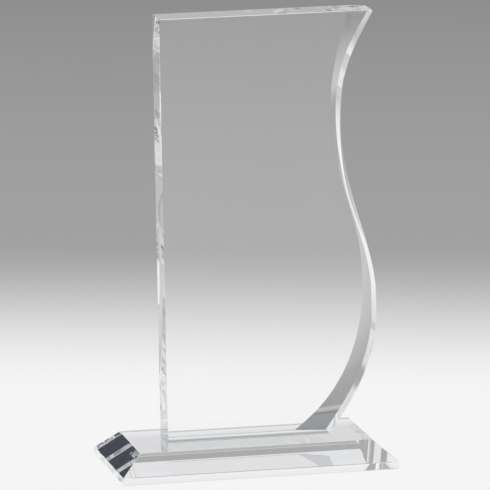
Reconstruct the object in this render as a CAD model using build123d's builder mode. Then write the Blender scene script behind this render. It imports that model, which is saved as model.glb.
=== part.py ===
from build123d import *
import os
from math import radians, tan

# Crystal award: an upright clear plate with one S-shaped edge, bonded on a
# low bevelled block. Millimetres, +Z up, +X to the right, the front faces -Y.
# The origin is the centre of the block's underside.

# Base block: a vertical skirt below four sloping bevels
base_length = 131.0
base_depth = 73.6
base_height = 12.4
skirt_height = 3.3
bevel_run_ends = 10.3
bevel_run_sides = 11.1
base_arris = 0.25

# Adhesive film between the block and the plate
film_thickness = 0.15

# Upright plate
plate_height = 200.0
plate_thickness = 18.7
plate_left = -38.5
plate_setback = 1.65
front_arris = 0.3
rear_arris = 0.3

# The S-shaped edge as (x, height above the plate's foot), from foot to tip:
# the outline of the plate, which ends a little below the top in an upright flat,
# and the inner line of the bevel on its rear face
wave_outline = [(39.0, 0.0), (51.2, 18.0), (62.1, 50.0), (60.6, 80.0),
                (51.5, 113.0), (46.8, 143.0), (49.8, 173.0), (62.3, 198.6)]
wave_bevel = [(24.9, 0.0), (36.2, 9.6), (51.5, 32.6), (58.4, 62.6),
              (55.6, 95.6), (47.1, 127.6), (44.9, 162.6), (54.2, 200.0)]
bevel_angle = 30.0
bevel_reach = 5.0
cutter_margin = 1.0
cutter_overrun = 12.0
cutter_side = 110.0

foot = base_height + film_thickness
front_y = plate_setback - plate_thickness / 2
rear_y = front_y + plate_thickness


def upright_plane(y):
    """The vertical plane at the given depth, with its own origin at the foot."""
    return Plane((0, y, foot), x_dir=(1, 0, 0), z_dir=(0, -1, 0))


def shifted_wave(points, distance):
    """The points moved outward, square to the smooth curve through them."""
    curve = Spline(*points)
    moved = []
    for point in points:
        tangent = curve % curve.param_at_point(Vector(*point))
        moved.append((point[0] + distance * tangent.Y, point[1] - distance * tangent.X))
    return moved


# The bevel's sloping face, taken a little behind the plate and well inside it
bevel_run = 1 / tan(radians(bevel_angle))
bevel_behind = shifted_wave(wave_bevel, -cutter_margin * bevel_run)
bevel_inside = shifted_wave(wave_bevel, bevel_reach * bevel_run)

os.makedirs("parts", exist_ok=True)

# Base block
with BuildPart() as base:
    with BuildSketch():
        Rectangle(base_length, base_depth)
    extrude(amount=skirt_height)
    with BuildSketch(Plane.XY.offset(skirt_height)):
        Rectangle(base_length, base_depth)
    with BuildSketch(Plane.XY.offset(base_height)):
        Rectangle(base_length - 2 * bevel_run_ends, base_depth - 2 * bevel_run_sides)
    loft(ruled=True)
    chamfer(base.edges(), length=base_arris)

# Upright plate: the outline through the full thickness, with a fine arris on its
# edges, then the wide bevel ground along the rear of the S-shaped edge
with BuildPart() as wave_plate:
    with BuildSketch(upright_plane(front_y)):
        with BuildLine():
            edge = Spline(*wave_outline)
            tip = edge @ 1
            Polyline(edge @ 0, (plate_left, 0), (plate_left, plate_height), (tip.X, plate_height), tip)
        make_face()
    extrude(amount=-plate_thickness)
    chamfer(wave_plate.faces().sort_by(Axis.Y)[0].edges(), length=front_arris)
    rear_edges = wave_plate.faces().sort_by(Axis.Y)[-1].edges()
    chamfer(rear_edges.filter_by(GeomType.LINE), length=rear_arris)
    for depth, wave in ((rear_y + cutter_margin, bevel_behind), (rear_y - bevel_reach, bevel_inside)):
        with BuildSketch(upright_plane(depth)):
            with BuildLine():
                line = Spline(*wave)
                low = line @ 0 - (line % 0) * cutter_overrun
                high = line @ 1 + (line % 1) * cutter_overrun
                Polyline(line @ 0, low, (cutter_side, low.Y), (cutter_side, high.Y), high, line @ 1)
            make_face()
    loft(ruled=True, mode=Mode.SUBTRACT)

# Adhesive film: fills the joint, flush with the plate's foot all round
with BuildPart() as bond_film:
    extrude(wave_plate.faces().sort_by(Axis.Z)[0], amount=film_thickness)

base.part.label = "base"
wave_plate.part.label = "wave_plate"
bond_film.part.label = "bond_film"
export_step(base.part, "parts/base.step")
export_step(wave_plate.part, "parts/wave_plate.step")
export_step(bond_film.part, "parts/bond_film.step")
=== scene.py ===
import bmesh
import bpy
import math
import numpy as np
from mathutils import Matrix, Vector


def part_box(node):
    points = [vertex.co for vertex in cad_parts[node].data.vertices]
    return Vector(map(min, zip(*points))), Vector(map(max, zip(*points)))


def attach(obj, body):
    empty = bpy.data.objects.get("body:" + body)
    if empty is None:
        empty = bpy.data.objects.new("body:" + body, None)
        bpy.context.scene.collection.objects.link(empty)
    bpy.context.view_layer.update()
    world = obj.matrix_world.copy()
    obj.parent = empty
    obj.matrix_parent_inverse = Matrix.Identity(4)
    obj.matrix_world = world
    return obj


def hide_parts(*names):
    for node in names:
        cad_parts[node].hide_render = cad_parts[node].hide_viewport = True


# Crystal award: a clear plate with one S-shaped, bevelled edge, bonded on a low
# clear block. Metres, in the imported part's frame: +Z up, the front faces -Y.

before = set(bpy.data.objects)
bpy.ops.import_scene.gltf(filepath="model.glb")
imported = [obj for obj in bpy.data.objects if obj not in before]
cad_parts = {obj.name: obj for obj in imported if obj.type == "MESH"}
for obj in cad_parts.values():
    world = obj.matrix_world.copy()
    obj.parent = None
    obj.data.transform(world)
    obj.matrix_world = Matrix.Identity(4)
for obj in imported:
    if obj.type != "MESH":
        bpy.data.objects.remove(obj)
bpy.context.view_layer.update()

MM = 0.001
plate_low, plate_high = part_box("wave_plate")
base_low, base_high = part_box("base")
film_low, film_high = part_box("bond_film")

# Upright plate, as in the part's own driving dimensions
PLATE_HEIGHT = plate_high.z - plate_low.z
FOOT = plate_low.z
FRONT = plate_low.y
REAR = plate_high.y
LEFT = plate_low.x
ARRIS = 0.3 * MM
BEVEL_ANGLE = math.radians(30)
WAVE_STEPS = 121
WAVE_MARGIN = 15 * MM
# The S-shaped edge as (x, height above the foot) in millimetres: the outline,
# which ends below the top in an upright flat, and the bevel's inner line
WAVE_OUTLINE = [(39.0, 0.0), (51.2, 18.0), (62.1, 50.0), (60.6, 80.0),
                (51.5, 113.0), (46.8, 143.0), (49.8, 173.0), (62.3, 198.6)]
WAVE_BEVEL = [(24.9, 0.0), (36.2, 9.6), (51.5, 32.6), (58.4, 62.6),
              (55.6, 95.6), (47.1, 127.6), (44.9, 162.6), (54.2, 200.0)]

# Base block
SKIRT_HEIGHT = 3.3 * MM
BEVEL_RUN_ENDS = 10.3 * MM
BEVEL_RUN_SIDES = 11.1 * MM
BASE_ARRIS = 0.15 * MM

# Adhesive film: a little inside the joint, so that no two faces coincide
FILM_INSET = 0.04 * MM
FILM_GAP = 0.01 * MM

# Edges whose faces meet at more than these angles are crisp
PLATE_CREASE = math.radians(12)
BASE_CREASE = math.radians(5)
FILM_CREASE = math.radians(30)
# A face counts as level and facing down when its normal is below this height
FACING_DOWN = -0.999

# Stage
FLOOR_RADIUS = 6.0
FLOOR_DROP = 0.3 * MM
# The floor recedes in the direction this far right of +Y
FLOOR_TURN = math.radians(19.8)
FLOOR_TONE = 0.913
# With distance behind the object, in metres, the floor falls to a tone and also by a
# share, each as (from, to, value): straight behind it, and in the wing to the left of that
BEHIND_FALL = (0.15, 0.58, 0.365)
BEHIND_FADE = (0.30, 3.00, 0.42)
WING_FALL = (0.10, 0.70, 0.56)
WING_FADE = (0.90, 4.50, 0.35)
WING_START = -0.4
WING_FULL = -0.6
# With distance in front of it the floor falls by a share, as (from, to, share)
FRONT_FADE = (0.0, 1.1, 0.5)
# A soft painted pool of light on the floor in front of the object and a little to its right
POOL_TONE = 1.2
POOL_TURN = math.radians(11.6)
POOL_NEAR = 0.25
POOL_FAR = 1.6
POOL_HALF_WIDTH = 0.22
POOL_SOFT = 0.16
# Painted shade on the floor: under the block's front and middle, and in the strip along its rear edge
UNDER_SHADE = 0.67
UNDER_SHADE_SOFT = 20 * MM
REAR_SHADE = 0.42
REAR_SHADE_INSIDE = 4 * MM
REAR_SHADE_OUTSIDE = 9 * MM
SHADE_SOFT = 1.5 * MM
REAR_SHADE_SOFT = 5 * MM

# Studio surroundings: the general tone, how much bluer than grey they are, and the
# softness of a zone's edges in degrees
STUDIO_TONE = 0.6
STUDIO_BLUE = 0.022
ZONE_SOFT = 2.0
# Zones: tone, then azimuth from and to, then elevation from and to, in degrees
STUDIO_ZONES = [(0.78, -60, 62, 9, 66),
                (0.78, -60, -22, -8, 9),
                (0.20, -62, -45, 12, 21),
                (0.28, -9, 25, -8, 9),
                (0.07, -20, -9, 9, 14),
                (0.02, 46, 66, 16, 32)]

# Camera: place in metres, heading right of +Y, pitch above level, roll; lens in millimetres
CAMERA_PLACE = (-0.57796, -2.81970, 0.62496)
CAMERA_HEADING = math.radians(11.613)
CAMERA_PITCH = math.radians(-10.274)
CAMERA_ROLL = math.radians(-1.039)
CAMERA_SENSOR = 36
CAMERA_LENS = 459.6
CAMERA_REACH = 50
LIGHT_BOUNCES = 40

# Materials
CRYSTAL_INDEX = 1.52
PLATE_TINT = (0.972, 0.976, 0.996)
BASE_TINT = (0.985, 0.985, 0.995)
# Polishing haze: its pattern's scale and its greatest roughness
HAZE_SCALE = 35.0
HAZE_ROUGHNESS = 0.004
# Range of the polished surface's lean, from one side of true to the other, as a tangent
SURFACE_LEAN = 0.0003
RIPPLE_SCALE = 22.0
CONTACT_TINT = (0.97, 0.98, 0.975)
CURE_SCALE = 60.0
RIM_COLOUR = (0.30, 0.32, 0.32, 1)
BEAD_SCALE = 400.0
BEAD_HEIGHT = 0.02 * MM


# ---------------------------------------------------------------- curves

def smooth_curve(points, count):
    """Evenly spaced points on the natural cubic spline through the given ones."""
    knots = np.array(points, float) * MM
    steps = np.hypot(*np.diff(knots, axis=0).T)
    along = np.concatenate([[0], np.cumsum(steps)])
    size = len(knots)
    system = np.eye(size)
    for i in range(1, size - 1):
        system[i, i - 1:i + 2] = steps[i - 1], 2 * (steps[i - 1] + steps[i]), steps[i]
    at = np.linspace(0, along[-1], count)
    span = np.clip(np.searchsorted(along, at, side="right") - 1, 0, size - 2)
    after = at - along[span]
    before = along[span + 1] - at
    width = steps[span]
    axes = []
    for value in knots.T:
        slope = np.diff(value) / steps
        bend = np.zeros(size)
        bend[1:-1] = 6 * np.diff(slope)
        second = np.linalg.solve(system, bend)
        cubic = (second[span] * before ** 3 + second[span + 1] * after ** 3) / (6 * width)
        low = (value[span] / width - second[span] * width / 6) * before
        high = (value[span + 1] / width - second[span + 1] * width / 6) * after
        axes.append(cubic + low + high)
    return np.stack(axes, 1)


def inward(curve, distance):
    """The curve moved to the left of its upward direction."""
    tangent = np.gradient(curve, axis=0)
    tangent /= np.hypot(*tangent.T)[:, None]
    return curve + np.stack([-tangent[:, 1], tangent[:, 0]], 1) * distance


def between(curve, low, high):
    """The curve from one height to another, drawn out straight where it is too short."""
    first = curve[0] - curve[1]
    last = curve[-1] - curve[-2]
    start = curve[0] + first / np.hypot(*first) * WAVE_MARGIN
    end = curve[-1] + last / np.hypot(*last) * WAVE_MARGIN
    whole = np.vstack([start, curve, end])
    along = np.concatenate([[0], np.cumsum(np.hypot(*np.diff(whole, axis=0).T))])
    at = np.linspace(np.interp(low, whole[:, 1], along), np.interp(high, whole[:, 1], along), WAVE_STEPS)
    return np.stack([np.interp(at, along, whole[:, 0]), np.interp(at, along, whole[:, 1])], 1)


def wave(points, distance, low, high):
    return between(inward(smooth_curve(points, 5 * WAVE_STEPS), distance), low, high)


# ---------------------------------------------------------------- meshes

def finished_object(name, mesh_data, sharp_angle):
    """An object of the mesh, with crisp edges where its faces meet at more than the angle."""
    bmesh.ops.recalc_face_normals(mesh_data, faces=mesh_data.faces[:])
    mesh = bpy.data.meshes.new(name)
    mesh_data.to_mesh(mesh)
    for edge, source in zip(mesh.edges, mesh_data.edges):
        edge.use_edge_sharp = source.calc_face_angle(math.pi) > sharp_angle
    mesh_data.free()
    piece = bpy.data.objects.new(name, mesh)
    bpy.context.scene.collection.objects.link(piece)
    return piece


def plate_rings():
    """The S-shaped edge as rings of (x, depth, height), from the front face to the rear."""
    inset = wave(WAVE_OUTLINE, ARRIS, ARRIS, PLATE_HEIGHT - ARRIS)
    outline = wave(WAVE_OUTLINE, 0, 0, PLATE_HEIGHT)
    bevel = wave(WAVE_BEVEL, 0, 0, PLATE_HEIGHT)
    tip = WAVE_OUTLINE[-1][0] * MM
    inset[:, 0] = np.minimum(inset[:, 0], tip - ARRIS)
    outline[:, 0] = np.minimum(outline[:, 0], tip)
    run = np.array([np.hypot(*(bevel - point).T).min() for point in outline])
    depths = [FRONT, FRONT + ARRIS, REAR - run * math.tan(BEVEL_ANGLE), REAR]
    rings = []
    for curve, depth in zip([inset, outline, outline, bevel], depths):
        rings.append(np.column_stack([curve[:, 0], np.broadcast_to(depth, WAVE_STEPS), curve[:, 1]]))
    return rings


def make_plate():
    """The upright plate as one closed mesh: flat faces, fine arrises, wave wall and rear bevel."""
    data = bmesh.new()

    def corner(x, y, height):
        return data.verts.new((x, y, FOOT + height))

    points = plate_rings()
    rings = [[corner(*point) for point in ring] for ring in points]
    # Where the bevel runs out through the rear arris, at the top and at the foot
    run_outs = []
    for end in (-1, 0):
        outer, inner = points[2][end], points[3][end]
        run_outs.append(corner(*(inner + (outer - inner) * ARRIS / (inner[1] - outer[1]))))
    top = PLATE_HEIGHT
    front = [corner(LEFT + ARRIS, FRONT, top - ARRIS), corner(LEFT + ARRIS, FRONT, ARRIS)]
    left_front = [corner(LEFT, FRONT + ARRIS, top), corner(LEFT, FRONT + ARRIS, 0)]
    left_rear = [corner(LEFT, REAR - ARRIS, top), corner(LEFT, REAR - ARRIS, 0)]
    rear = [corner(LEFT + ARRIS, REAR, top - ARRIS), corner(LEFT + ARRIS, REAR, ARRIS)]
    # The rear face stops an arris short of the foot and of the top
    rings[-1][0].co.z += ARRIS
    rings[-1][-1].co.z -= ARRIS
    data.faces.new([*front, *rings[0]])
    data.faces.new([*rear[::-1], *rings[-1][::-1]])
    data.faces.new([front[0], left_front[0], left_front[1], front[1]])
    data.faces.new([left_front[0], left_rear[0], left_rear[1], left_front[1]])
    data.faces.new([left_rear[0], rear[0], rear[1], left_rear[1]])
    for near, far in zip(rings[:-1], rings[1:]):
        for i in range(WAVE_STEPS - 1):
            loop = [near[i], far[i], far[i + 1], near[i + 1]]
            if far is rings[-1] and i == 0:
                loop.insert(1, run_outs[1])
            if far is rings[-1] and i == WAVE_STEPS - 2:
                loop.insert(3, run_outs[0])
            data.faces.new(loop).smooth = True
    for side, step in ((0, -1), (1, 0)):
        edge = [ring[step] for ring in rings]
        data.faces.new([front[side], left_front[side], edge[1], edge[0]])
        data.faces.new([left_front[side], left_rear[side], run_outs[side], edge[2], edge[1]])
        data.faces.new([left_rear[side], rear[side], edge[3], run_outs[side]])
    return finished_object("crystal_plate", data, PLATE_CREASE)


def foot_outline(plate):
    """The plate's foot face as (x, y) points."""
    foot = max((p for p in plate.data.polygons if p.normal.z < FACING_DOWN), key=lambda p: p.area)
    return [plate.data.vertices[i].co.xy for i in foot.vertices]


def make_base(footprint):
    """The base block as one closed mesh, with the plate's footprint drawn in its top."""
    data = bmesh.new()
    rings = []
    levels = ((0, 0, base_low.z), (0, 0, SKIRT_HEIGHT), (BEVEL_RUN_ENDS, BEVEL_RUN_SIDES, base_high.z))
    for inset_x, inset_y, z in levels:
        low = Vector((base_low.x + inset_x, base_low.y + inset_y))
        high = Vector((base_high.x - inset_x, base_high.y - inset_y))
        corners = ((low.x, low.y), (high.x, low.y), (high.x, high.y), (low.x, high.y))
        rings.append([data.verts.new((x, y, z)) for x, y in corners])
    data.faces.new(rings[0][::-1])
    data.faces.new(rings[2])
    for lower, upper in zip(rings[:-1], rings[1:]):
        for i in range(4):
            j = (i + 1) % 4
            data.faces.new([lower[i], lower[j], upper[j], upper[i]])
    bmesh.ops.bevel(data, geom=data.edges[:], offset=BASE_ARRIS, segments=1, affect="EDGES")
    top = max(data.faces, key=lambda face: face.calc_center_median().z + face.calc_area())
    rim = top.edges[:]
    data.faces.remove(top)
    contact = data.faces.new([data.verts.new((x, y, base_high.z)) for x, y in footprint])
    contact.material_index = 1
    bmesh.ops.triangle_fill(data, use_beauty=True, edges=rim + contact.edges[:], normal=(0, 0, 1))
    return finished_object("crystal_base", data, BASE_CREASE)


def make_film(footprint):
    """The adhesive film: the footprint drawn in a little, as a closed thin slab."""
    middle = Vector(((film_low.x + film_high.x) / 2, (film_low.y + film_high.y) / 2))
    half = Vector(((film_high.x - film_low.x) / 2, (film_high.y - film_low.y) / 2))
    scale = Vector((1 - FILM_INSET / half.x, 1 - FILM_INSET / half.y))
    data = bmesh.new()
    loops = []
    for z in (film_low.z + FILM_GAP, film_high.z - FILM_GAP):
        loop = []
        for x, y in footprint:
            inner_x = middle.x + (x - middle.x) * scale.x
            inner_y = middle.y + (y - middle.y) * scale.y
            loop.append(data.verts.new((inner_x, inner_y, z)))
        loops.append(loop)
    lower, upper = loops
    data.faces.new(lower)
    data.faces.new(upper[::-1])
    for i in range(len(lower)):
        j = (i + 1) % len(lower)
        data.faces.new([lower[i], upper[i], upper[j], lower[j]])
    return finished_object("adhesive_film", data, FILM_CREASE)


# ---------------------------------------------------------------- materials

class Nodes:
    """Adds shader nodes to one tree and joins them in a line or two."""

    def __init__(self, owner):
        owner.use_nodes = True
        self.tree = owner.node_tree
        self.tree.nodes.clear()

    def add(self, kind, settings=None, **links):
        """A node of the kind. Links name its inputs, or number them as _0, _1 and so on,
        and give each a value or another node's output."""
        node = self.tree.nodes.new(kind)
        for name, value in (settings or {}).items():
            setattr(node, name, value)
        for name, value in links.items():
            by_number = name[0] == "_" and name[1:].isdigit()
            socket = node.inputs[int(name[1:]) if by_number else name.replace("_", " ")]
            if isinstance(value, bpy.types.NodeSocket):
                self.tree.links.new(value, socket)
            else:
                socket.default_value = value
        return node

    def math(self, operation, first, second=0.0, third=0.0):
        node = self.add("ShaderNodeMath", {"operation": operation}, _0=first, _1=second, _2=third)
        return node.outputs[0]

    def rise(self, value, start, end, low=0.0, high=1.0):
        """Goes smoothly from low to high as the value goes from start to end."""
        settings = {"interpolation_type": "SMOOTHSTEP"}
        return self.add("ShaderNodeMapRange", settings, Value=value, From_Min=start, From_Max=end,
                        To_Min=low, To_Max=high).outputs[0]

    def within(self, value, low, high, soft):
        """1 from low to high and 0 outside, with each end smoothed over a soft distance both ways."""
        rising = self.rise(value, low - soft, low + soft)
        falling = self.rise(value, high + soft, high - soft)
        return self.math("MULTIPLY", rising, falling)

    def mix(self, factor, first, second):
        """A number between two numbers."""
        return self.add("ShaderNodeMix", {"data_type": "FLOAT"}, _0=factor, _2=first, _3=second).outputs[0]


def crystal(name, tint):
    """Polished optical crystal: faint polishing haze and a barely uneven surface."""
    material = bpy.data.materials.new(name)
    n = Nodes(material)
    place = n.add("ShaderNodeTexCoord").outputs["Object"]
    haze = n.add("ShaderNodeTexNoise", Vector=place, Scale=HAZE_SCALE, Detail=3.0).outputs["Fac"]
    ripple = n.add("ShaderNodeTexNoise", Vector=place, Scale=RIPPLE_SCALE, Detail=1.0).outputs["Color"]
    ramp = n.add("ShaderNodeValToRGB", Fac=haze)
    ramp.color_ramp.elements[0].color = (*tint, 1)
    ramp.color_ramp.elements[1].color = (1, 1, 1, 1)
    lean = n.add("ShaderNodeVectorMath", {"operation": "MULTIPLY_ADD"}, _0=ripple,
                 _1=(SURFACE_LEAN,) * 3, _2=(-SURFACE_LEAN / 2,) * 3).outputs["Vector"]
    normal = n.add("ShaderNodeNewGeometry").outputs["Normal"]
    leaning = n.add("ShaderNodeVectorMath", {"operation": "ADD"}, _0=normal, _1=lean).outputs["Vector"]
    uneven = n.add("ShaderNodeVectorMath", {"operation": "NORMALIZE"}, _0=leaning).outputs["Vector"]
    shader = n.add("ShaderNodeBsdfPrincipled", Base_Color=ramp.outputs["Color"],
                   Roughness=n.rise(haze, 0.35, 0.75, 0.0, HAZE_ROUGHNESS), Normal=uneven,
                   IOR=CRYSTAL_INDEX, Transmission_Weight=1.0)
    n.add("ShaderNodeOutputMaterial", Surface=shader.outputs["BSDF"])
    return material


def bonded_contact():
    """The wetted joint, where light passes from crystal to adhesive without a break."""
    material = bpy.data.materials.new("bonded_contact")
    n = Nodes(material)
    place = n.add("ShaderNodeTexCoord").outputs["Object"]
    cure = n.add("ShaderNodeTexNoise", Vector=place, Scale=CURE_SCALE, Detail=2.0).outputs["Fac"]
    ramp = n.add("ShaderNodeValToRGB", Fac=cure)
    ramp.color_ramp.elements[0].color = (*CONTACT_TINT, 1)
    ramp.color_ramp.elements[1].color = (1, 1, 1, 1)
    shader = n.add("ShaderNodeBsdfTransparent", Color=ramp.outputs["Color"])
    n.add("ShaderNodeOutputMaterial", Surface=shader.outputs["BSDF"])
    return material


def adhesive():
    """Cured clear adhesive: clear through its thickness, a glossy darker line at its rim."""
    material = bpy.data.materials.new("clear_adhesive")
    n = Nodes(material)
    place = n.add("ShaderNodeTexCoord").outputs["Object"]
    normal = n.add("ShaderNodeNewGeometry").outputs["True Normal"]
    up = n.add("ShaderNodeSeparateXYZ", Vector=normal).outputs["Z"]
    flat = n.rise(n.math("ABSOLUTE", up), 0.3, 0.7)
    beads = n.add("ShaderNodeTexNoise", Vector=place, Scale=BEAD_SCALE, Detail=2.0).outputs["Fac"]
    bump = n.add("ShaderNodeBump", Strength=0.2, Distance=BEAD_HEIGHT, Height=beads)
    rim = n.add("ShaderNodeBsdfPrincipled", Base_Color=RIM_COLOUR, Normal=bump.outputs["Normal"],
                Roughness=n.rise(beads, 0.3, 0.7, 0.12, 0.3))
    clear = n.add("ShaderNodeBsdfTransparent")
    both = n.add("ShaderNodeMixShader", Fac=flat, _1=rim.outputs["BSDF"], _2=clear.outputs["BSDF"])
    n.add("ShaderNodeOutputMaterial", Surface=both.outputs["Shader"])
    return material


# ---------------------------------------------------------------- stage, light and camera

def make_floor():
    """A pale floor that shines by itself: even near the object and dimmer farther off, with
    a painted soft pool of light in front and painted soft shade under and behind the block."""
    data = bmesh.new()
    bmesh.ops.create_circle(data, cap_ends=True, radius=FLOOR_RADIUS, segments=64)
    bmesh.ops.translate(data, verts=data.verts[:], vec=(0, 0, base_low.z - FLOOR_DROP))
    floor = finished_object("floor", data, math.pi)
    material = bpy.data.materials.new("floor_paper")
    n = Nodes(material)
    place = n.add("ShaderNodeNewGeometry").outputs["Position"]

    def distance(turn):
        """How far a point is along the floor, in the direction this far right of +Y."""
        direction = (math.sin(turn), math.cos(turn), 0)
        product = n.add("ShaderNodeVectorMath", {"operation": "DOT_PRODUCT"}, _0=place, _1=direction)
        return product.outputs["Value"]

    back = distance(FLOOR_TURN)
    side = distance(FLOOR_TURN + math.pi / 2)

    def receding(fall, fade):
        """The floor's tone as it falls to one value and also fades by a share, going back."""
        return n.math("MULTIPLY", n.rise(back, fall[0], fall[1], FLOOR_TONE, fall[2]),
                      n.rise(back, fade[0], fade[1], 1.0, fade[2]))

    axes = n.add("ShaderNodeSeparateXYZ", Vector=place)

    def shaded(tone, share, front, rear, rear_soft):
        """The tone with painted shade: less bright over the block's width between two depths."""
        width = n.rise(n.math("ABSOLUTE", axes.outputs["X"]), base_high.x, base_high.x - SHADE_SOFT)
        depth = n.math("MULTIPLY", n.rise(axes.outputs["Y"], front, front + SHADE_SOFT),
                       n.rise(axes.outputs["Y"], rear, rear - rear_soft))
        covered = n.math("MULTIPLY", width, depth)
        return n.math("MULTIPLY", tone, n.math("MULTIPLY_ADD", covered, share - 1, third=1.0))

    tone = n.mix(n.rise(side, WING_START, WING_FULL), receding(BEHIND_FALL, BEHIND_FADE),
                 receding(WING_FALL, WING_FADE))
    tone = n.math("MULTIPLY", tone, n.rise(back, -FRONT_FADE[0], -FRONT_FADE[1], 1.0, FRONT_FADE[2]))
    # Painted pool of light on the floor in front of the object
    pool = n.math("MULTIPLY", n.within(distance(math.pi - POOL_TURN), POOL_NEAR, POOL_FAR, POOL_SOFT),
                  n.within(distance(math.pi / 2 - POOL_TURN), -POOL_HALF_WIDTH, POOL_HALF_WIDTH, POOL_SOFT))
    tone = n.mix(pool, tone, POOL_TONE)
    # Painted shade under the block and along its rear edge, in place of a cast shadow
    tone = shaded(tone, UNDER_SHADE, base_low.y, base_high.y, UNDER_SHADE_SOFT)
    tone = shaded(tone, REAR_SHADE, base_high.y - REAR_SHADE_INSIDE, base_high.y + REAR_SHADE_OUTSIDE,
                  REAR_SHADE_SOFT)
    light = n.add("ShaderNodeEmission", Strength=tone)
    n.add("ShaderNodeOutputMaterial", Surface=light.outputs["Emission"])
    floor.data.materials.append(material)


def light_world():
    """Soft studio surroundings by direction: degrees right of +Y, and degrees above the floor."""
    world = bpy.data.worlds.new("studio")
    bpy.context.scene.world = world
    n = Nodes(world)
    axes = n.add("ShaderNodeSeparateXYZ", Vector=n.add("ShaderNodeTexCoord").outputs["Generated"])
    turn = n.math("DEGREES", n.math("ARCTAN2", axes.outputs["X"], axes.outputs["Y"]))
    height = n.math("DEGREES", n.math("ARCSINE", axes.outputs["Z"]))

    tone = STUDIO_TONE
    for value, left, right, low, high in STUDIO_ZONES:
        inside = n.math("MULTIPLY", n.within(turn, left, right, ZONE_SOFT),
                        n.within(height, low, high, ZONE_SOFT))
        tone = n.mix(inside, tone, value)
    colour = n.add("ShaderNodeCombineColor", Red=tone, Green=n.math("ADD", tone, STUDIO_BLUE / 3),
                   Blue=n.math("ADD", tone, STUDIO_BLUE)).outputs["Color"]
    light = n.add("ShaderNodeBackground", Color=colour)
    n.add("ShaderNodeOutputWorld", Surface=light.outputs["Background"])


def make_camera():
    camera = bpy.data.cameras.new("camera")
    camera.sensor_width = CAMERA_SENSOR
    camera.lens = CAMERA_LENS
    camera.clip_end = CAMERA_REACH
    holder = bpy.data.objects.new("camera", camera)
    aim = Matrix.Rotation(-CAMERA_HEADING, 4, "Z") @ Matrix.Rotation(math.pi / 2 + CAMERA_PITCH, 4, "X")
    holder.matrix_world = Matrix.Translation(CAMERA_PLACE) @ aim @ Matrix.Rotation(CAMERA_ROLL, 4, "Z")
    bpy.context.scene.collection.objects.link(holder)
    bpy.context.scene.camera = holder


# ---------------------------------------------------------------- assembly

plate = make_plate()
footprint = foot_outline(plate)
base = make_base(footprint)
film = make_film(footprint)

contact = bonded_contact()
pieces = ((plate, "wave_plate", "plate_crystal", crystal("plate_crystal", PLATE_TINT)),
          (base, "base", "base_crystal", crystal("base_crystal", BASE_TINT)),
          (film, "bond_film", "clear_adhesive", adhesive()))
for piece, node, slot, material in pieces:
    piece.data.materials.append(material)
    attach(piece, "root")
    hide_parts(node)
plate.data.materials.append(contact)
base.data.materials.append(contact)
for face in plate.data.polygons:
    if face.normal.z < FACING_DOWN:
        face.material_index = 1

make_floor()
light_world()
make_camera()

scene = bpy.context.scene
scene.view_settings.view_transform = "Standard"
scene.cycles.denoising_input_passes = "RGB"
for bounces in ("max_bounces", "transmission_bounces", "glossy_bounces", "transparent_max_bounces"):
    setattr(scene.cycles, bounces, LIGHT_BOUNCES)
